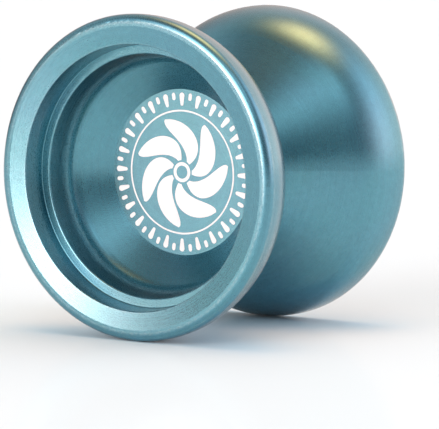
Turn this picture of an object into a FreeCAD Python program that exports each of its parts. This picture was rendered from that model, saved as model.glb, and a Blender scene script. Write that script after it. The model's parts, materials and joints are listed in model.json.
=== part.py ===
# Unresponsive metal yo-yo: two turned aluminium halves on a threaded axle, a size C ball bearing between them,
# and a silicone response pad in each half. Millimetres. +Y is the spin axis, +Z is up, and the origin is the
# middle of the axle, half way between the two halves. The front half is on the -Y side, the back half on +Y.
import FreeCAD, Part
import math
import os
import Sketcher
from FreeCAD import Vector

doc = FreeCAD.newDocument("YoYo")

# ---------------------------------------------------------------------------------------------- driving dimensions
DIMS = [
    # turned half, outside. "at" values are distances from the middle plane along the axis.
    ("rim_radius", 28.0, "largest radius of a half"),
    ("rim_at", 20.7, "where the shoulder reaches the largest radius"),
    ("rim_flat_end_at", 20.85, "where the rim's outer edge starts to round"),
    ("rim_edge_radius", 1.4, "rounding between the rim's side and its face"),
    ("rim_edge_top_radius", 26.6, "radius where that rounding meets the face"),
    ("face_at", 22.25, "outermost plane of a half"),
    ("face_land_radius", 26.0, "inner radius of the flat land on the rim's face"),
    ("shoulder_radius", 11.2, "radius of the shoulder's arc, tangent to the wall's cone"),
    ("wall_start_radius", 10.4, "where the wall's cone starts beside the response area"),
    ("wall_start_at", 2.6, "the same point's distance from the middle plane"),
    ("response_edge_radius", 9.95, "outer radius of the response area's flat"),
    ("gap_half", 2.15, "half the string gap"),
    # cup
    ("mouth_radius", 22.85, "inner radius of the rim's face"),
    ("mouth_at", 21.83, "its distance from the middle plane"),
    ("step_radius", 22.6, "radius of the rim's inner wall at the ledge"),
    ("step_at", 17.45, "ledge inside the rim, at its outer edge"),
    ("lip_radius", 21.0, "radius of the cup below the ledge"),
    ("lip_at", 17.37, "ledge at its inner edge: it is dished a little, as the rim's face is"),
    ("cup_wall_base_at", 11.662, "where the cup's wall would meet its cone"),
    ("hub_face_radius", 14.45, "radius of the flat in the middle of the cup"),
    ("hub_face_at", 7.11, "that flat's distance from the middle plane"),
    ("cup_fillet", 4.0, "fillet at the foot of the cup's wall"),
    ("lip_fillet", 0.28, "rounding of the ledge's lip"),
    ("mouth_fillet", 0.15, "rounding of the rim face's inner edge"),
    ("ledge_fillet", 0.12, "fillet at the ledge's corner"),
    ("wall_fillet", 0.5, "rounding beside the response area"),
    # hub, seat and thread
    ("tap_radius", 2.0, "threaded hole, at the thread's major radius"),
    ("tap_end_at", 5.2, "full depth of the threaded hole"),
    ("tap_point_at", 5.9, "tip of the drill's cone"),
    ("tap_mouth_radius", 2.3, "countersink of the threaded hole"),
    ("tap_mouth_at", 0.55, "depth of that countersink"),
    ("post_end_at", 0.25, "end of the bearing post"),
    ("post_radius", 3.165, "bearing post, a sliding fit in the inner race"),
    ("post_tip_radius", 2.965, "lead-in of the post"),
    ("post_tip_at", 0.45, "where the lead-in ends"),
    ("seat_at", 2.38125, "shoulder that clamps the inner race"),
    ("seat_radius", 4.0, "outer radius of that shoulder"),
    ("pocket_at", 2.63, "floor of the bearing pocket"),
    ("pocket_radius", 6.5, "wall of the bearing pocket"),
    ("groove_in_radius", 7.1, "response groove, inner wall"),
    ("groove_out_radius", 9.55, "response groove, outer wall"),
    ("groove_at", 3.15, "floor of the response groove"),
    # response pad
    ("pad_in_radius", 7.13, "pad"),
    ("pad_out_radius", 9.52, "pad"),
    ("pad_top_at", 2.2, "pad's face"),
    # axle
    ("axle_radius", 1.99, "axle, major radius of its thread"),
    ("axle_length", 10.0, "axle"),
    ("axle_chamfer", 0.35, "axle's ends"),
    ("hex_across", 1.1547, "half the width of the hex socket across its corners"),
    ("hex_depth", 2.2, "hex socket"),
    # bearing, size C
    ("race_bore", 3.175, "inner race's bore radius"),
    ("race_half", 2.38125, "half the bearing's width"),
    ("race_bore_bevel_radius", 3.325, "bevel of the bore"),
    ("race_bore_bevel_at", 2.23, "bevel of the bore"),
    ("inner_land", 4.35, "inner race's outer radius"),
    ("inner_land_bevel_radius", 4.27, "bevel"),
    ("inner_land_bevel_at", 2.30, "bevel"),
    ("inner_track_centre", 4.78875, "centre radius of the inner raceway's section"),
    ("outer_track_centre", 4.7365, "centre radius of the outer raceway's section"),
    ("track_radius", 0.83, "radius of both raceways' sections"),
    ("outer_land", 5.18, "outer race's inner radius"),
    ("shield_seat_at", 1.75, "step that a shield rests on"),
    ("shield_bore", 5.75, "outer race's bore at a shield"),
    ("clip_groove_radius", 5.87, "clip groove"),
    ("clip_groove_in_at", 2.02, "clip groove, inner side"),
    ("clip_groove_out_at", 2.26, "clip groove, outer side"),
    ("race_outside", 6.35, "outer race's radius"),
    ("race_outside_bevel_radius", 6.25, "bevel"),
    ("race_outside_bevel_at", 2.28, "bevel"),
    ("string_track_at", 1.9, "edge of the concave string track"),
    ("string_track_radius", 6.17, "radius of the string track's section"),
    ("ball_radius", 0.79375, "ball"),
    ("ball_pitch_radius", 4.7625, "radius of the circle of ball centres"),
    ("ball_count", 10, "balls"),
    ("cage_in_radius", 4.43, "cage"),
    ("cage_out_radius", 5.10, "cage"),
    ("cage_top_at", 1.35, "cage's closed side"),
    ("cage_prong_at", 0.45, "tips of the cage's prongs, on the other side of the balls"),
    ("cage_pocket_radius", 0.84, "ball pocket of the cage"),
    ("shield_in_radius", 4.45, "shield"),
    ("shield_out_radius", 5.74, "shield"),
    ("shield_step_in_radius", 5.04, "shield's step"),
    ("shield_step_out_radius", 5.15, "shield's step"),
    ("shield_low_in_at", 1.68, "shield, inner part, inside"),
    ("shield_low_out_at", 1.88, "shield, inner part, outside"),
    ("shield_high_in_at", 1.75, "shield, outer part, inside"),
    ("shield_high_out_at", 2.02, "shield, outer part, outside"),
    ("clip_in_radius", 5.42, "clip"),
    ("clip_out_radius", 5.85, "clip"),
    ("clip_in_at", 2.02, "clip"),
    ("clip_out_at", 2.24, "clip"),
    ("clip_angle", 318, "how far round a clip goes, in degrees"),
]
D = {}
sheet = doc.addObject("Spreadsheet::Sheet", "Dims")
for row, (alias, value, note) in enumerate(DIMS, start=1):
    sheet.set("A%d" % row, alias)
    sheet.set("B%d" % row, repr(value))
    sheet.set("C%d" % row, note)
    sheet.setAlias("B%d" % row, alias)
    D[alias] = float(value)
doc.recompute()


# ---------------------------------------------------------------------------------------------- helpers
def new_body(label):
    body = doc.addObject("PartDesign::Body", label)
    body.Label = label
    return body


def origin(body, role):
    return [f for f in body.Origin.OriginFeatures if f.Role == role][0]


def new_sketch(body, name, role="XY_Plane"):
    sketch = body.newObject("Sketcher::SketchObject", name)
    sketch.AttachmentSupport = [(origin(body, role), "")]
    sketch.MapMode = "FlatFace"
    return sketch


def bind(sketch, constraint, alias, negative=False):
    """Adds a dimension and ties it to a cell of the sheet."""
    i = sketch.addConstraint(constraint)
    sketch.setExpression("Constraints[%d]" % i, ("-" if negative else "") + "Dims." + alias)
    return i


def profile(sketch, points, arcs=None, side=1):
    """A closed profile in the sketch's plane: X is the radius and Y is side times the distance along the axis.
    points: (radius alias or None, distance alias or None or 0, and the guess (radius, distance) where one is None).
    A radius of 0 lies on the axis. arcs: index of the segment's first point -> a dict with the arc's radius alias,
    the guess of its centre, a point that it passes near, and what holds its centre."""
    arcs = arcs or {}
    xy = []
    for p in points:
        r = D[p[0]] if isinstance(p[0], str) else (0.0 if p[0] == 0 else p[2][0])
        d = abs(D[p[1].lstrip("-")]) * (-1 if p[1].startswith("-") else 1) if isinstance(p[1], str) else (0.0 if p[1] == 0 else p[2][1])
        xy.append(Vector(r, side * d, 0))
    n = len(xy)
    ends = []  # (geometry, which end is the segment's start, which is its end)
    for i in range(n):
        a, b = xy[i], xy[(i + 1) % n]
        if i in arcs:
            c = Vector(arcs[i]["centre"][0], side * arcs[i]["centre"][1], 0)
            m = Vector(arcs[i]["near"][0], side * arcs[i]["near"][1], 0)
            turn = (a - c).cross(m - c).z
            first, last = (a, b) if turn > 0 else (b, a)
            t0 = math.atan2(first.y - c.y, first.x - c.x)
            t1 = math.atan2(last.y - c.y, last.x - c.x)
            if t1 < t0:
                t1 += 2 * math.pi
            g = sketch.addGeometry(Part.ArcOfCircle(Part.Circle(c, Vector(0, 0, 1), D[arcs[i]["radius"]]), t0, t1), False)
            ends.append((g, 1, 2) if turn > 0 else (g, 2, 1))
        else:
            g = sketch.addGeometry(Part.LineSegment(a, b), False)
            ends.append((g, 1, 2))
    smooth = {(i + 1) % n for i in arcs if arcs[i].get("tangent_end")} | {i for i in arcs if arcs[i].get("tangent_start")}
    for i in range(n):
        before, here = ends[i - 1], ends[i]
        kind = "Tangent" if i in smooth else "Coincident"
        sketch.addConstraint(Sketcher.Constraint(kind, before[0], before[2], here[0], here[1]))
    for i, p in enumerate(points):
        g, start = ends[i][0], ends[i][1]
        if isinstance(p[0], str):
            bind(sketch, Sketcher.Constraint("DistanceX", g, start, xy[i].x), p[0])
        elif p[0] == 0:
            sketch.addConstraint(Sketcher.Constraint("PointOnObject", g, start, -2))
        if isinstance(p[1], str):
            down = (side < 0) != p[1].startswith("-")
            bind(sketch, Sketcher.Constraint("DistanceY", g, start, xy[i].y), p[1].lstrip("-"), down)
        elif p[1] == 0:
            sketch.addConstraint(Sketcher.Constraint("PointOnObject", g, start, -1))
    for i, arc in arcs.items():
        g = ends[i][0]
        bind(sketch, Sketcher.Constraint("Radius", g, D[arc["radius"]]), arc["radius"])
        if "centre_radius" in arc:
            bind(sketch, Sketcher.Constraint("DistanceX", g, 3, D[arc["centre_radius"]]), arc["centre_radius"])
        if arc.get("centre_on_middle"):
            sketch.addConstraint(Sketcher.Constraint("PointOnObject", g, 3, -1))
        if "centre_at" in arc:
            bind(sketch, Sketcher.Constraint("DistanceY", g, 3, side * D[arc["centre_at"]]), arc["centre_at"], side < 0)
    doc.recompute()
    return sketch


def revolve(body, name, sketch, angle=None):
    turned = body.newObject("PartDesign::Revolution", name)
    turned.Profile = sketch
    turned.ReferenceAxis = (sketch, ["V_Axis"])
    turned.Angle = 360.0
    if angle:
        turned.setExpression("Angle", "Dims." + angle)
    doc.recompute()
    body.Tip = turned
    return turned


def circles_at(feature, radius, distance):
    """Names of the circular edges round the axis with this radius, at this distance along it."""
    found = []
    for i, e in enumerate(feature.Shape.Edges, start=1):
        c = e.Curve
        if isinstance(c, Part.Circle) and abs(c.Radius - radius) < 0.01 and abs(c.Center.y - distance) < 0.01:
            if abs(abs(c.Axis.y) - 1) < 1e-6:
                found.append("Edge%d" % i)
    if not found:
        raise RuntimeError("no circle of radius %s at %s" % (radius, distance))
    return found


def round_edges(body, name, base, edges, alias):
    f = body.newObject("PartDesign::Fillet", name)
    f.Base = (base, edges)
    f.Radius = D[alias]
    f.setExpression("Radius", "Dims." + alias)
    doc.recompute()
    body.Tip = f
    return f


# ---------------------------------------------------------------------------------------------- the two halves
def make_half(label, side):
    body = new_body(label)
    s = new_sketch(body, label + "_profile")
    # the tangent point of cone and shoulder follows from the shoulder's radius
    k = (23.2, 11.5)
    pts = [
        (0, "tap_point_at"),
        ("tap_radius", "tap_end_at"),
        ("tap_radius", "tap_mouth_at"),
        ("tap_mouth_radius", "post_end_at"),
        ("post_tip_radius", "post_end_at"),
        ("post_radius", "post_tip_at"),
        ("post_radius", "seat_at"),
        ("seat_radius", "seat_at"),
        ("seat_radius", "pocket_at"),
        ("pocket_radius", "pocket_at"),
        ("pocket_radius", "gap_half"),
        ("groove_in_radius", "gap_half"),
        ("groove_in_radius", "groove_at"),
        ("groove_out_radius", "groove_at"),
        ("groove_out_radius", "gap_half"),
        ("response_edge_radius", "gap_half"),
        ("wall_start_radius", "wall_start_at"),
        (None, None, k),
        ("rim_radius", "rim_at"),
        ("rim_radius", "rim_flat_end_at"),
        ("rim_edge_top_radius", "face_at"),
        ("face_land_radius", "face_at"),
        ("mouth_radius", "mouth_at"),
        ("step_radius", "step_at"),
        ("lip_radius", "lip_at"),
        ("lip_radius", "cup_wall_base_at"),
        ("hub_face_radius", "hub_face_at"),
        (0, "hub_face_at"),
    ]
    arcs = {
        17: {"radius": "shoulder_radius", "centre": (D["rim_radius"] - D["shoulder_radius"], D["rim_at"]), "near": (26.2, 15.0),
             "centre_at": "rim_at", "tangent_start": True},
        19: {"radius": "rim_edge_radius", "centre": (D["rim_radius"] - D["rim_edge_radius"], D["rim_flat_end_at"]), "near": (27.6, 21.85)},
    }
    profile(s, pts, arcs, side)
    turned = revolve(body, label + "_turned", s)
    f = round_edges(body, label + "_cup_foot", turned, circles_at(turned, D["lip_radius"], side * D["cup_wall_base_at"]), "cup_fillet")
    f = round_edges(body, label + "_lip", f, circles_at(f, D["lip_radius"], side * D["lip_at"]), "lip_fillet")
    f = round_edges(body, label + "_mouth", f, circles_at(f, D["mouth_radius"], side * D["mouth_at"]), "mouth_fillet")
    f = round_edges(body, label + "_ledge", f, circles_at(f, D["step_radius"], side * D["step_at"]), "ledge_fillet")
    f = round_edges(body, label + "_catch", f, circles_at(f, D["wall_start_radius"], side * D["wall_start_at"]), "wall_fillet")
    return body


front_half = make_half("front_half", -1)
back_half = make_half("back_half", 1)


# ---------------------------------------------------------------------------------------------- response pads
def make_pad(label, side):
    body = new_body(label)
    s = new_sketch(body, label + "_profile")
    profile(s, [("pad_in_radius", "pad_top_at"), ("pad_out_radius", "pad_top_at"), ("pad_out_radius", "groove_at"), ("pad_in_radius", "groove_at")], None, side)
    turned = revolve(body, label + "_ring", s)
    return body


front_pad = make_pad("front_response_pad", -1)
back_pad = make_pad("back_response_pad", 1)


# ---------------------------------------------------------------------------------------------- axle
axle = new_body("axle_screw")
s = new_sketch(axle, "axle_section", "XZ_Plane")
g = s.addGeometry(Part.Circle(Vector(0, 0, 0), Vector(0, 0, 1), D["axle_radius"]), False)
s.addConstraint(Sketcher.Constraint("Coincident", g, 3, -1, 1))
bind(s, Sketcher.Constraint("Radius", g, D["axle_radius"]), "axle_radius")
rod = axle.newObject("PartDesign::Pad", "axle_rod")
rod.Profile = s
rod.Length = D["axle_length"]
rod.setExpression("Length", "Dims.axle_length")
rod.Midplane = True
doc.recompute()
ends = circles_at(rod, D["axle_radius"], D["axle_length"] / 2) + circles_at(rod, D["axle_radius"], -D["axle_length"] / 2)
bevel = axle.newObject("PartDesign::Chamfer", "axle_ends")
bevel.Base = (rod, ends)
bevel.Size = D["axle_chamfer"]
bevel.setExpression("Size", "Dims.axle_chamfer")
doc.recompute()
hexagon = new_sketch(axle, "axle_hex", "XZ_Plane")
hexagon.AttachmentOffset = FreeCAD.Placement(Vector(0, 0, D["axle_length"] / 2), FreeCAD.Rotation())
hexagon.setExpression("AttachmentOffset.Base.z", "Dims.axle_length / 2")
ring = hexagon.addGeometry(Part.Circle(Vector(0, 0, 0), Vector(0, 0, 1), D["hex_across"]), True)
hexagon.addConstraint(Sketcher.Constraint("Coincident", ring, 3, -1, 1))
bind(hexagon, Sketcher.Constraint("Radius", ring, D["hex_across"]), "hex_across")
corners = [Vector(D["hex_across"] * math.cos(math.radians(60 * i)), D["hex_across"] * math.sin(math.radians(60 * i)), 0) for i in range(6)]
sides = [hexagon.addGeometry(Part.LineSegment(corners[i], corners[(i + 1) % 6]), False) for i in range(6)]
for i in range(6):
    hexagon.addConstraint(Sketcher.Constraint("Coincident", sides[i], 2, sides[(i + 1) % 6], 1))
    hexagon.addConstraint(Sketcher.Constraint("PointOnObject", sides[i], 1, ring))
for i in range(1, 6):
    hexagon.addConstraint(Sketcher.Constraint("Equal", sides[0], sides[i]))
hexagon.addConstraint(Sketcher.Constraint("PointOnObject", sides[0], 1, -1))
doc.recompute()
socket = axle.newObject("PartDesign::Pocket", "axle_socket")
socket.Profile = hexagon
socket.Length = D["hex_depth"]
socket.setExpression("Length", "Dims.hex_depth")
doc.recompute()
if bevel.Shape.Volume - socket.Shape.Volume < 1.0:
    socket.Reversed = True
    doc.recompute()
if bevel.Shape.Volume - socket.Shape.Volume < 1.0:
    raise RuntimeError("the hex socket cut nothing")
axle.Tip = socket

# ---------------------------------------------------------------------------------------------- bearing races
inner_race = new_body("bearing_inner_race")
s = new_sketch(inner_race, "inner_race_profile")
profile(
    s,
    [
        ("race_bore", "-race_bore_bevel_at"),
        ("race_bore_bevel_radius", "-race_half"),
        ("inner_land_bevel_radius", "-race_half"),
        ("inner_land", "-inner_land_bevel_at"),
        ("inner_land", None, (D["inner_land"], -0.705)),
        ("inner_land", None, (D["inner_land"], 0.705)),
        ("inner_land", "inner_land_bevel_at"),
        ("inner_land_bevel_radius", "race_half"),
        ("race_bore_bevel_radius", "race_half"),
        ("race_bore", "race_bore_bevel_at"),
    ],
    {4: {"radius": "track_radius", "centre": (D["inner_track_centre"], 0.0), "near": (D["inner_track_centre"] - D["track_radius"], 0.0),
         "centre_radius": "inner_track_centre", "centre_on_middle": True}},
)
revolve(inner_race, "inner_race_turned", s)

outer_race = new_body("bearing_outer_race")
s = new_sketch(outer_race, "outer_race_profile")
profile(
    s,
    [
        ("shield_bore", "-race_half"),
        ("race_outside_bevel_radius", "-race_half"),
        ("race_outside", "-race_outside_bevel_at"),
        ("race_outside", "-string_track_at"),
        ("race_outside", "string_track_at"),
        ("race_outside", "race_outside_bevel_at"),
        ("race_outside_bevel_radius", "race_half"),
        ("shield_bore", "race_half"),
        ("shield_bore", "clip_groove_out_at"),
        ("clip_groove_radius", "clip_groove_out_at"),
        ("clip_groove_radius", "clip_groove_in_at"),
        ("shield_bore", "clip_groove_in_at"),
        ("shield_bore", "shield_seat_at"),
        ("outer_land", "shield_seat_at"),
        ("outer_land", None, (D["outer_land"], 0.7016)),
        ("outer_land", None, (D["outer_land"], -0.7016)),
        ("outer_land", "-shield_seat_at"),
        ("shield_bore", "-shield_seat_at"),
        ("shield_bore", "-clip_groove_in_at"),
        ("clip_groove_radius", "-clip_groove_in_at"),
        ("clip_groove_radius", "-clip_groove_out_at"),
        ("shield_bore", "-clip_groove_out_at"),
    ],
    {
        3: {"radius": "string_track_radius", "centre": (D["race_outside"] + math.sqrt(D["string_track_radius"] ** 2 - D["string_track_at"] ** 2), 0.0),
            "near": (6.05, 0.0)},
        14: {"radius": "track_radius", "centre": (D["outer_track_centre"], 0.0), "near": (D["outer_track_centre"] + D["track_radius"], 0.0),
             "centre_radius": "outer_track_centre", "centre_on_middle": True},
    },
)
revolve(outer_race, "outer_race_turned", s)

# ---------------------------------------------------------------------------------------------- balls
balls = []
for i in range(int(D["ball_count"])):
    ball = doc.addObject("Part::Sphere", "ball_%02d" % (i + 1))
    ball.Label = "ball_%02d" % (i + 1)
    ball.setExpression("Radius", "Dims.ball_radius")
    turn = 2 * math.pi * i / D["ball_count"]
    ball.Placement = FreeCAD.Placement(
        Vector(D["ball_pitch_radius"] * math.cos(turn), 0, D["ball_pitch_radius"] * math.sin(turn)), FreeCAD.Rotation()
    )
    balls.append(ball)
doc.recompute()

# ---------------------------------------------------------------------------------------------- cage
cage = new_body("ball_cage")
s = new_sketch(cage, "cage_profile")
profile(s, [("cage_in_radius", "-cage_prong_at"), ("cage_out_radius", "-cage_prong_at"), ("cage_out_radius", "cage_top_at"), ("cage_in_radius", "cage_top_at")])
crown = revolve(cage, "cage_ring", s)
p = new_sketch(cage, "cage_pocket_section")
c, r = D["ball_pitch_radius"], D["cage_pocket_radius"]
arc = p.addGeometry(Part.ArcOfCircle(Part.Circle(Vector(c, 0, 0), Vector(0, 0, 1), r), -math.pi / 2, math.pi / 2), False)
line = p.addGeometry(Part.LineSegment(Vector(c, r, 0), Vector(c, -r, 0)), False)
axis = p.addGeometry(Part.LineSegment(Vector(c, -2, 0), Vector(c, 2, 0)), True)
p.addConstraint(Sketcher.Constraint("Coincident", arc, 2, line, 1))
p.addConstraint(Sketcher.Constraint("Coincident", line, 2, arc, 1))
p.addConstraint(Sketcher.Constraint("PointOnObject", arc, 3, -1))
p.addConstraint(Sketcher.Constraint("PointOnObject", arc, 3, line))
p.addConstraint(Sketcher.Constraint("Vertical", line))
bind(p, Sketcher.Constraint("DistanceX", arc, 3, c), "ball_pitch_radius")
bind(p, Sketcher.Constraint("Radius", arc, r), "cage_pocket_radius")
p.addConstraint(Sketcher.Constraint("Vertical", axis))
p.addConstraint(Sketcher.Constraint("PointOnObject", axis, 1, line))
doc.recompute()
pocket = cage.newObject("PartDesign::Groove", "cage_pocket")
pocket.Profile = p
pocket.ReferenceAxis = (p, ["Axis0"])
pocket.Angle = 360.0
doc.recompute()
ring_of = cage.newObject("PartDesign::PolarPattern", "cage_pockets")
ring_of.Originals = [pocket]
ring_of.Axis = (origin(cage, "Y_Axis"), [""])
ring_of.Angle = 360.0
ring_of.Occurrences = int(D["ball_count"])
ring_of.setExpression("Occurrences", "Dims.ball_count")
cage.Tip = ring_of
doc.recompute()
if crown.Shape.Volume - ring_of.Shape.Volume < 9 * (crown.Shape.Volume - pocket.Shape.Volume):
    raise RuntimeError("the cage's pockets weren't all cut")


# ---------------------------------------------------------------------------------------------- shields and their clips
def make_shield(label, side):
    body = new_body(label)
    s = new_sketch(body, label + "_profile")
    profile(
        s,
        [
            ("shield_in_radius", "shield_low_in_at"),
            ("shield_step_in_radius", "shield_low_in_at"),
            ("shield_step_out_radius", "shield_high_in_at"),
            ("shield_out_radius", "shield_high_in_at"),
            ("shield_out_radius", "shield_high_out_at"),
            ("shield_step_out_radius", "shield_high_out_at"),
            ("shield_step_in_radius", "shield_low_out_at"),
            ("shield_in_radius", "shield_low_out_at"),
        ],
        None,
        side,
    )
    revolve(body, label + "_disc", s)
    return body


def make_clip(label, side):
    body = new_body(label)
    s = new_sketch(body, label + "_profile")
    profile(s, [("clip_in_radius", "clip_in_at"), ("clip_out_radius", "clip_in_at"), ("clip_out_radius", "clip_out_at"), ("clip_in_radius", "clip_out_at")], None, side)
    revolve(body, label + "_ring", s, "clip_angle")
    return body


front_shield, back_shield = make_shield("front_shield", -1), make_shield("back_shield", 1)
front_clip, back_clip = make_clip("front_shield_clip", -1), make_clip("back_shield_clip", 1)

# ---------------------------------------------------------------------------------------------- check and write
doc.recompute()
PARTS = [front_half, back_half, front_pad, back_pad, axle, inner_race, outer_race, cage, front_shield, back_shield, front_clip, back_clip] + balls
for obj in doc.Objects:
    bad = [w for w in obj.State if w in ("Invalid", "Error")]
    if bad:
        raise RuntimeError("%s is %s" % (obj.Label, bad))
os.makedirs("parts", exist_ok=True)
for old in os.listdir("parts"):
    if old.endswith(".step"):
        os.remove(os.path.join("parts", old))
total = 0.0
for obj in PARTS:
    shape = obj.Shape
    if shape.isNull() or not shape.isValid() or len(shape.Solids) != 1 or shape.Volume <= 0:
        raise RuntimeError("%s has no single valid solid" % obj.Label)
    shape.exportStep(os.path.join("parts", obj.Label + ".step"))
    total += shape.Volume
    print("%-22s %9.3f mm3" % (obj.Label, shape.Volume))
print("tangent point of cone and shoulder:", [(round(v.X, 3), round(v.Y, 3)) for v in front_half.Group[0].Shape.Vertexes if 22 < v.X < 24 and 9 < abs(v.Y) < 13])
print("total %.1f mm3" % total)
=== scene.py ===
# Looks of the metal yo-yo: camera, floor and light, materials for every CAD node, and the printed hub motifs.
import bpy
import bmesh
import json
import math
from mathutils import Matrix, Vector


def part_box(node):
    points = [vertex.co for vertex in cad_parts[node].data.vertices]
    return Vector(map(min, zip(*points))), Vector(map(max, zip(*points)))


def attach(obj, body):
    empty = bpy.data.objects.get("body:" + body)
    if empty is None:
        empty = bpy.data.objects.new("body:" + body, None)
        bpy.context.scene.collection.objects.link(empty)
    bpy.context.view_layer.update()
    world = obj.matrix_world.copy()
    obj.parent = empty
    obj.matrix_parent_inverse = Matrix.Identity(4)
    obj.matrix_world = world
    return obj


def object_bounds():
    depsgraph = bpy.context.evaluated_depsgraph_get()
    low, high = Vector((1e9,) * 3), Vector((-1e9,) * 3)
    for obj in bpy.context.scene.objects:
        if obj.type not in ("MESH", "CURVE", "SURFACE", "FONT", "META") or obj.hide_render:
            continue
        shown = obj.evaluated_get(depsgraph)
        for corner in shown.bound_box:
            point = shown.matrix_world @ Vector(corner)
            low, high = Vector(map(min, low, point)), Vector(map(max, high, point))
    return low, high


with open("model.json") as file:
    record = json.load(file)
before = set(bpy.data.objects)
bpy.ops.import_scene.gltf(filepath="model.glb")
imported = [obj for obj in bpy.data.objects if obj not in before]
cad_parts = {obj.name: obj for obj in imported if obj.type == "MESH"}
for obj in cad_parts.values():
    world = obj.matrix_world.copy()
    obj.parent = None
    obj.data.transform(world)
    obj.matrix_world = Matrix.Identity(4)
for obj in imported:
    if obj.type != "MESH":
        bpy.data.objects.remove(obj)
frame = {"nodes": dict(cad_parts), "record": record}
cad_lo, cad_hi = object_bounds()
scene = bpy.context.scene
MM = 0.001
SPIN = (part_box("front_half")[0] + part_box("back_half")[1]) / 2  # the middle of the axle


# ---------------------------------------------------------------------------------------------- camera
def make_camera():
    azimuth, elevation = math.radians(33.85), math.radians(5.82)
    right = Vector((math.cos(azimuth), math.sin(azimuth), 0))
    ahead = Vector((-math.sin(azimuth), math.cos(azimuth), 0))
    up = Vector((0, 0, 1))
    data = bpy.data.cameras.new("camera")
    camera = bpy.data.objects.new("camera", data)
    scene.collection.objects.link(camera)
    data.sensor_width = 36.0
    data.lens = 294.82
    data.clip_start, data.clip_end = 0.01, 50.0
    camera.location = SPIN + (2.54 * right + 55.94 * up - 627.19 * ahead) * MM
    look = math.cos(elevation) * ahead - math.sin(elevation) * up
    camera.rotation_mode = "QUATERNION"
    camera.rotation_quaternion = look.to_track_quat("-Z", "Y")
    scene.camera = camera
    return camera


make_camera()
scene.view_settings.view_transform = "Standard"
scene.view_settings.look = "None"


# ---------------------------------------------------------------------------------------------- node helpers
class Tree:
    """Short calls for making a material's nodes."""

    def __init__(self, tree):
        self.tree = tree
        tree.nodes.clear()

    def node(self, kind, inputs=None, **props):
        n = self.tree.nodes.new(kind)
        for k, v in props.items():
            setattr(n, k, v)
        for k, v in (inputs or {}).items():
            if isinstance(v, bpy.types.NodeSocket):
                self.tree.links.new(v, n.inputs[k])
            else:
                n.inputs[k].default_value = v
        return n

    def link(self, a, b):
        self.tree.links.new(a, b)

    def math(self, op, a, b=0.0, c=0.0, clamp=False):
        return self.node("ShaderNodeMath", {0: a, 1: b, 2: c}, operation=op, use_clamp=clamp).outputs[0]

    def vmath(self, op, a, b=(0, 0, 0)):
        n = self.node("ShaderNodeVectorMath", {0: a, 1: b}, operation=op)
        return n.outputs["Value"] if op in ("DOT_PRODUCT", "LENGTH", "DISTANCE") else n.outputs[0]

    def remap(self, v, a, b, c=0.0, d=1.0, smooth=False):
        return self.node("ShaderNodeMapRange", {0: v, 1: a, 2: b, 3: c, 4: d}, interpolation_type="SMOOTHSTEP" if smooth else "LINEAR").outputs[0]

    def noise(self, vector, scale, detail=3.0, rough=0.5, distort=0.0, dims="3D"):
        return self.node("ShaderNodeTexNoise", {"Vector": vector, "Scale": scale, "Detail": detail, "Roughness": rough, "Distortion": distort}, noise_dimensions=dims).outputs[0]

    def mix(self, f, a, b, blend="MIX"):
        n = self.node("ShaderNodeMix", data_type="RGBA", blend_type=blend)
        for socket, v in ((n.inputs[0], f), (n.inputs[6], a), (n.inputs[7], b)):
            if isinstance(v, bpy.types.NodeSocket):
                self.link(v, socket)
            else:
                socket.default_value = v
        return n.outputs[2]

    def shader(self, **inputs):
        n = self.node("ShaderNodeBsdfPrincipled", {k: v for k, v in inputs.items()})
        out = self.node("ShaderNodeOutputMaterial")
        self.link(n.outputs[0], out.inputs[0])
        return n


def new_material(name):
    m = bpy.data.materials.new(name)
    m.use_nodes = True
    return m, Tree(m.node_tree)


def lathe_coordinates(t):
    """The point in millimetres, its radius about the spin axis, its distance from the middle plane, and its turn about the axis."""
    where = t.node("ShaderNodeTexCoord").outputs["Object"]
    point = t.node("ShaderNodeVectorMath", {0: where, "Scale": 1 / MM}, operation="SCALE").outputs[0]
    xyz = t.node("ShaderNodeSeparateXYZ", {0: point})
    x, y, z = xyz.outputs
    radius = t.math("SQRT", t.math("ADD", t.math("MULTIPLY", x, x), t.math("MULTIPLY", z, z)))
    away = t.math("ABSOLUTE", y)
    turn = t.math("ARCTAN2", z, x)
    return point, radius, away, turn, y


def ring_mask(t, radius, away, r0, a0, inner, outer):
    """1 on the circle of radius r0 at distance a0 along the axis, fading to 0 between the two distances from it."""
    dr, da = t.math("SUBTRACT", radius, r0), t.math("SUBTRACT", away, a0)
    gap = t.math("SQRT", t.math("ADD", t.math("MULTIPLY", dr, dr), t.math("MULTIPLY", da, da)))
    return t.remap(gap, inner, outer, 1.0, 0.0, smooth=True)


# ---------------------------------------------------------------------------------------------- anodised aluminium
EDGES = [(26.6, 22.25), (22.85, 21.83), (21.0, 17.45), (9.95, 2.15), (28.0, 20.8)]


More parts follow.
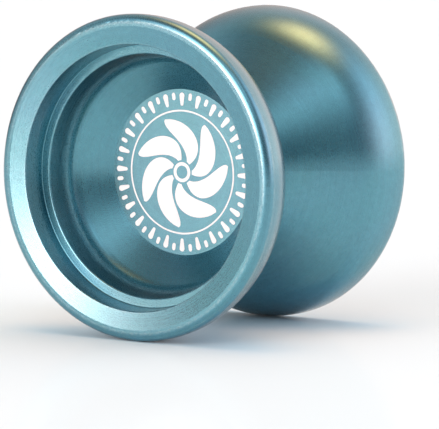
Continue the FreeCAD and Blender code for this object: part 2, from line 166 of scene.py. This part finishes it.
def anodised():
    m, t = new_material("anodised_aluminium")
    point, radius, away, turn, y = lathe_coordinates(t)
    # turning marks: rings about the axis, a little uneven round the turn
    ring_at = t.node("ShaderNodeCombineXYZ", {0: radius, 1: away, 2: t.math("MULTIPLY", t.math("SINE", turn), 0.10)}).outputs[0]
    coarse_rings = t.noise(ring_at, 2.6, 2.0, 0.6)
    fine_rings = t.noise(ring_at, 11.0, 3.0, 0.65)
    # bead-blasted grain over them
    grain = t.noise(point, 5.5, 4.0, 0.62)
    peen = t.node("ShaderNodeTexVoronoi", {"Vector": point, "Scale": 4.2, "Randomness": 1.0}, feature="SMOOTH_F1").outputs[0]
    # the dye's slow drift between greener and bluer, and its slightly deeper tone in some rings
    drift = t.noise(point, 0.055, 2.0, 0.5, 0.6)
    cloud = t.noise(point, 0.9, 3.0, 0.55)
    teal, blue = (0.082, 0.290, 0.356, 1), (0.088, 0.286, 0.368, 1)
    tone = t.mix(t.remap(drift, 0.38, 0.62), teal, blue)
    depth = t.math("ADD", t.remap(cloud, 0.3, 0.7, 0.94, 1.05), t.remap(coarse_rings, 0.3, 0.7, -0.035, 0.035))
    depth = t.math("ADD", depth, t.remap(grain, 0.3, 0.7, -0.05, 0.05))
    deep = t.node("ShaderNodeVectorMath", {0: tone, "Scale": depth}, operation="SCALE").outputs[0]
    # edges: handling has thinned the dye on the sharpest ones
    worn = None
    for r0, a0 in EDGES:
        k = ring_mask(t, radius, away, r0, a0, 0.05, 0.42)
        worn = k if worn is None else t.math("MAXIMUM", worn, k)
    chatter = t.remap(t.noise(point, 1.6, 4.0, 0.7), 0.42, 0.68, 0.0, 1.0)
    worn = t.math("MULTIPLY", worn, t.math("MULTIPLY_ADD", chatter, 0.16, 0.04))
    colour = t.mix(worn, deep, (0.52, 0.66, 0.70, 1))
    rough = t.remap(grain, 0.3, 0.7, 0.24, 0.32)
    rough = t.math("ADD", rough, t.remap(fine_rings, 0.3, 0.7, -0.03, 0.03))
    rough = t.math("SUBTRACT", rough, t.math("MULTIPLY", worn, 0.10), clamp=True)
    height = t.math("ADD", t.math("MULTIPLY", grain, 0.9), t.math("MULTIPLY", peen, 0.3))
    height = t.math("ADD", height, t.math("MULTIPLY", fine_rings, 0.55))
    height = t.math("ADD", height, t.math("MULTIPLY", coarse_rings, 0.5))
    bump = t.node("ShaderNodeBump", {"Strength": 1.0, "Distance": 2.2e-6, "Height": height})
    t.shader(**{"Base Color": colour, "Metallic": 1.0, "Roughness": rough, "IOR": 1.5, "Normal": bump.outputs[0],
                "Specular Tint": (0.85, 0.74, 0.72, 1), "Coat Weight": 0.85, "Coat Roughness": 0.23, "Coat IOR": 1.68})
    return m


# ---------------------------------------------------------------------------------------------- steels, silicone, print
def steel(name, light, dark, rough, rings, metallic=1.0):
    """Steel with marks round the axis, faint blotches and fine scratches."""
    m, t = new_material(name)
    point, radius, away, turn, y = lathe_coordinates(t)
    at = t.node("ShaderNodeCombineXYZ", {0: radius, 1: y, 2: t.math("MULTIPLY", turn, 0.05)}).outputs[0]
    marks = t.noise(at, rings, 4.0, 0.7)
    blotch = t.noise(point, 1.3, 3.0, 0.6)
    scratch = t.noise(t.node("ShaderNodeMapping", {"Vector": point, "Scale": (9.0, 1.2, 9.0)}).outputs[0], 3.0, 5.0, 0.75)
    colour = t.mix(t.remap(t.math("MULTIPLY_ADD", marks, 0.6, t.math("MULTIPLY", blotch, 0.4)), 0.35, 0.65), dark, light)
    r = t.math("ADD", t.remap(marks, 0.3, 0.7, rough - 0.06, rough + 0.06), t.remap(scratch, 0.4, 0.7, 0.0, 0.05))
    bump = t.node("ShaderNodeBump", {"Strength": 1.0, "Distance": 2.0e-6, "Height": t.math("MULTIPLY_ADD", marks, 0.8, t.math("MULTIPLY", scratch, 0.4))})
    t.shader(**{"Base Color": colour, "Metallic": metallic, "Roughness": r, "Normal": bump.outputs[0]})
    return m


def silicone():
    m, t = new_material("response_silicone")
    point, radius, away, turn, y = lathe_coordinates(t)
    cloud = t.noise(point, 0.8, 3.0, 0.6)
    # string polishes and greys the middle of the pad
    rubbed = t.math("MULTIPLY", t.remap(t.math("ABSOLUTE", t.math("SUBTRACT", radius, 8.3)), 0.2, 1.2, 1.0, 0.0, smooth=True), t.remap(cloud, 0.35, 0.65))
    colour = t.mix(rubbed, (0.80, 0.82, 0.82, 1), (0.55, 0.58, 0.59, 1))
    pores = t.noise(point, 9.0, 4.0, 0.6)
    bump = t.node("ShaderNodeBump", {"Strength": 1.0, "Distance": 1.2e-5, "Height": pores})
    t.shader(**{"Base Color": colour, "Roughness": t.remap(pores, 0.3, 0.7, 0.45, 0.62), "IOR": 1.41, "Normal": bump.outputs[0],
                "Subsurface Weight": 0.25, "Subsurface Radius": (0.0006, 0.0006, 0.0006), "Subsurface Scale": 1.0})
    return m


def print_white():
    """White ink on the blasted metal: its grain shows through, with a few pinholes."""
    m, t = new_material("hub_print")
    point, radius, away, turn, y = lathe_coordinates(t)
    grain = t.noise(point, 5.5, 4.0, 0.62)
    cloud = t.noise(point, 0.7, 3.0, 0.6)
    pin = t.remap(t.noise(point, 7.0, 2.0, 0.5), 0.70, 0.76)
    colour = t.mix(t.remap(cloud, 0.35, 0.65), (0.96, 0.96, 0.955, 1), (0.92, 0.935, 0.94, 1))
    colour = t.mix(t.math("MULTIPLY", pin, 0.5), colour, (0.42, 0.58, 0.62, 1))
    bump = t.node("ShaderNodeBump", {"Strength": 1.0, "Distance": 5.0e-6, "Height": grain})
    t.shader(**{"Base Color": colour, "Roughness": t.remap(grain, 0.3, 0.7, 0.42, 0.60), "IOR": 1.48, "Normal": bump.outputs[0]})
    return m


MATERIALS = {
    "anodised_aluminium": anodised(),
    "response_silicone": silicone(),
    "race_steel": steel("race_steel", (0.74, 0.74, 0.75, 1), (0.60, 0.60, 0.62, 1), 0.20, 9.0),
    "ball_steel": steel("ball_steel", (0.84, 0.84, 0.85, 1), (0.76, 0.76, 0.78, 1), 0.10, 4.0),
    "cage_steel": steel("cage_steel", (0.62, 0.60, 0.56, 1), (0.46, 0.45, 0.42, 1), 0.34, 3.0),
    "shield_steel": steel("shield_steel", (0.66, 0.66, 0.67, 1), (0.54, 0.54, 0.56, 1), 0.28, 6.0),
    "clip_steel": steel("clip_steel", (0.42, 0.42, 0.43, 1), (0.30, 0.30, 0.31, 1), 0.36, 5.0),
    "axle_steel": steel("axle_steel", (0.58, 0.58, 0.58, 1), (0.42, 0.42, 0.43, 1), 0.32, 5.0),
    "hub_print": print_white(),
}
slot_of = {s["node"]: s["material_slot"] for s in frame["record"]["subparts"]}
for name, obj in frame["nodes"].items():
    for s in obj.material_slots:
        s.material = MATERIALS[slot_of[name]]


# ---------------------------------------------------------------------------------------------- the hubs' printed motif
def bar(turn, r0, r1, w0, w1, steps=7):
    """Outline of a radial bar with round ends; u, v in millimetres."""
    pts = []
    for i in range(steps + 1):
        a = -math.pi / 2 + math.pi * i / steps
        pts.append((r1 - w1 / 2 + w1 / 2 * math.cos(a), w1 / 2 * math.sin(a)))
    for i in range(steps + 1):
        a = math.pi / 2 + math.pi * i / steps
        pts.append((r0 + w0 / 2 + w0 / 2 * math.cos(a), w0 / 2 * math.sin(a)))
    c, s = math.cos(turn), math.sin(turn)
    return [(c * p - s * q, s * p + c * q) for p, q in pts]


def blade(turn, r0, r1, twist, spread, steps=28):
    """A pinwheel's curved blade as two edges that run from its root to its tip."""
    one, two = [], []
    for i in range(steps + 1):
        k = i / steps
        rho = r0 + (r1 - r0) * k
        a = turn + twist * k ** 1.15
        half = spread / 2 * (math.sin(math.pi * (0.10 + 0.90 * k)) ** 0.75 if k < 1 else 0.0)
        one.append((rho * math.cos(a - half), rho * math.sin(a - half)))
        two.append((rho * math.cos(a + half), rho * math.sin(a + half)))
    return one, two


def motif(name, y_surface, outward):
    """Thin raised print on a hub's flat. outward is the way the flat faces, -1 or 1 along Y."""
    bm = bmesh.new()
    low, high = y_surface - outward * 0.012, y_surface + outward * 0.018

    def prism(strip):
        """strip: pairs of points across the shape, in order along it. Makes a closed thin solid."""
        rows = []
        for (au, av), (bu, bv) in strip:
            rows.append([bm.verts.new((u * MM, y * MM, v * MM)) for u, v, y in
                         ((au, av, high), (bu, bv, high), (bu, bv, low), (au, av, low))])
        for p, q in zip(rows, rows[1:]):
            for i in range(4):
                bm.faces.new((p[i], p[(i + 1) % 4], q[(i + 1) % 4], q[i]))
        bm.faces.new(rows[0])
        bm.faces.new(rows[-1][::-1])

    def ring(r0, r1, steps=180):
        rows = []
        for i in range(steps):
            a = 2 * math.pi * i / steps
            c, s = math.cos(a), math.sin(a)
            rows.append([bm.verts.new((r * c * MM, y * MM, r * s * MM)) for r, y in ((r0, high), (r1, high), (r1, low), (r0, low))])
        for i in range(steps):
            p, q = rows[i], rows[(i + 1) % steps]
            for k in range(4):
                bm.faces.new((p[k], p[(k + 1) % 4], q[(k + 1) % 4], q[k]))

    def disc(r, steps=96):
        top = [bm.verts.new((r * math.cos(2 * math.pi * i / steps) * MM, high * MM, r * math.sin(2 * math.pi * i / steps) * MM)) for i in range(steps)]
        under = [bm.verts.new((v.co.x, low * MM, v.co.z)) for v in top]
        for i in range(steps):
            j = (i + 1) % steps
            bm.faces.new((top[i], top[j], under[j], under[i]))
        bm.faces.new(top[::-1])
        bm.faces.new(under)

    for i in range(48):
        long = i % 2 == 0
        pts = bar(2 * math.pi * i / 48, 11.55 if long else 12.55, 13.85, 0.62 if long else 0.70, 1.02 if long else 0.70)
        n = len(pts)
        prism([(pts[n // 2 - 1 - k], pts[n // 2 + k]) for k in range(n // 2)])
    ring(10.55, 10.85)
    for i in range(7):
        one, two = blade(2 * math.pi * i / 7, 2.1, 9.7, 1.05, 0.80)
        prism(list(zip(one, two)))
    ring(1.15, 1.75, 72)
    bmesh.ops.remove_doubles(bm, verts=bm.verts, dist=1e-7)
    bmesh.ops.dissolve_degenerate(bm, edges=bm.edges, dist=1e-8)
    bmesh.ops.recalc_face_normals(bm, faces=bm.faces)
    me = bpy.data.meshes.new(name)
    bm.to_mesh(me)
    bm.free()
    obj = bpy.data.objects.new(name, me)
    scene.collection.objects.link(obj)
    me.materials.append(MATERIALS["hub_print"])
    return obj


HUB_AT = 7.11
for name, side in (("front_hub_print", -1), ("back_hub_print", 1)):
    piece = motif(name, side * HUB_AT, side)
    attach(piece, "root")


# ---------------------------------------------------------------------------------------------- floor and light
def make_floor():
    me = bpy.data.meshes.new("floor")
    s = 8.0
    z = cad_lo.z - 0.00002
    me.from_pydata([(-s, -s, z), (s, -s, z), (s, s, z), (-s, s, z)], [], [(0, 1, 2, 3)])
    floor = bpy.data.objects.new("floor", me)
    scene.collection.objects.link(floor)
    m, t = new_material("floor")
    where = t.node("ShaderNodeTexCoord").outputs["Object"]
    tint = t.mix(t.noise(where, 3.0, 2.0, 0.5), (0.74, 0.90, 0.96, 1), (0.73, 0.89, 0.95, 1))
    matt = t.node("ShaderNodeBsdfDiffuse", {"Color": tint})
    gloss = t.node("ShaderNodeBsdfGlossy", {"Color": (1, 1, 1, 1), "Roughness": 0.10})
    both = t.node("ShaderNodeMixShader", {0: 0.07, 1: matt.outputs[0], 2: gloss.outputs[0]})
    out = t.node("ShaderNodeOutputMaterial")
    t.link(both.outputs[0], out.inputs[0])
    me.materials.append(m)
    return floor


floor = make_floor()

# Soft boxes: azimuth and elevation as seen from the yo-yo (azimuth 0 is on the front side, 90 on +X), how tight the box is,
# and its colour and strength.
AMBIENT = (0.05, 0.075, 0.09)
SOFT_BOXES = [
    ("key_low", -21, 4, 105, (21.5, 12.5, 10.5)),
    ("key", -6, 18, 28, (7.0, 6.4, 6.3)),
    ("key_side", -32, 30, 40, (0.9, 0.95, 1.05)),
    ("top_warm", 0, 90, 26, (6.9, 2.9, 1.05)),
    ("right", 105, 12, 10, (1.75, 1.16, 1.24)),
    ("right_high", 114, 45, 12, (0.62, 0.72, 0.90)),
    ("back", 163, 0, 2.7, (1.65, 1.38, 1.26)),
    ("back_high", -145, 46, 10, (0.55, 0.46, 0.44)),
    ("left_high", -84, 35, 12, (0.56, 0.58, 0.60)),
    ("front_high", 34, 42, 30, (1.20, 1.34, 1.42)),
    ("camera_side", 48, 18, 9, (0.05, 0.08, 0.10)),
    ("left", -60, 8, 20, (0.60, 0.50, 0.46)),
]


def make_light():
    world = bpy.data.worlds.new("studio")
    scene.world = world
    world.use_nodes = True
    t = Tree(world.node_tree)
    way = t.vmath("NORMALIZE", t.node("ShaderNodeTexCoord").outputs["Generated"])
    total = t.node("ShaderNodeCombineXYZ", {0: AMBIENT[0], 1: AMBIENT[1], 2: AMBIENT[2]}).outputs[0]
    for name, az, el, tight, colour in SOFT_BOXES:
        a, e = math.radians(az), math.radians(el)
        d = (math.sin(a) * math.cos(e), -math.cos(a) * math.cos(e), math.sin(e))
        near = t.math("SUBTRACT", t.vmath("DOT_PRODUCT", way, d), 1.0)
        glow = t.math("EXPONENT", t.math("MULTIPLY", near, tight))
        box = t.node("ShaderNodeVectorMath", {0: colour, "Scale": glow}, operation="SCALE", label=name).outputs[0]
        total = t.vmath("ADD", total, box)
    boxes = t.node("ShaderNodeBackground", {"Color": total, "Strength": 1.0})
    # beyond the table's edge the picture shows a plain pale backdrop, which lights nothing
    pale = t.node("ShaderNodeBackground", {"Color": (0.93, 0.94, 0.95, 1), "Strength": 1.0})
    seen = t.node("ShaderNodeLightPath").outputs["Is Camera Ray"]
    both = t.node("ShaderNodeMixShader", {0: seen, 1: boxes.outputs[0], 2: pale.outputs[0]})
    out = t.node("ShaderNodeOutputWorld")
    t.link(both.outputs[0], out.inputs[0])


make_light()


def make_wash(floor):
    """A cool lamp for the table alone, so that it stays a plain white under the warm overhead box."""
    data = bpy.data.lights.new("table_wash", "SUN")
    data.energy = 0.74
    data.color = (0.24, 0.74, 0.96)
    data.angle = math.radians(70)
    lamp = bpy.data.objects.new("table_wash", data)
    scene.collection.objects.link(lamp)
    lamp.location = (0, 0, 1.5)
    only = bpy.data.collections.new("table_only")
    only.objects.link(floor)
    lamp.light_linking.receiver_collection = only


make_wash(floor)
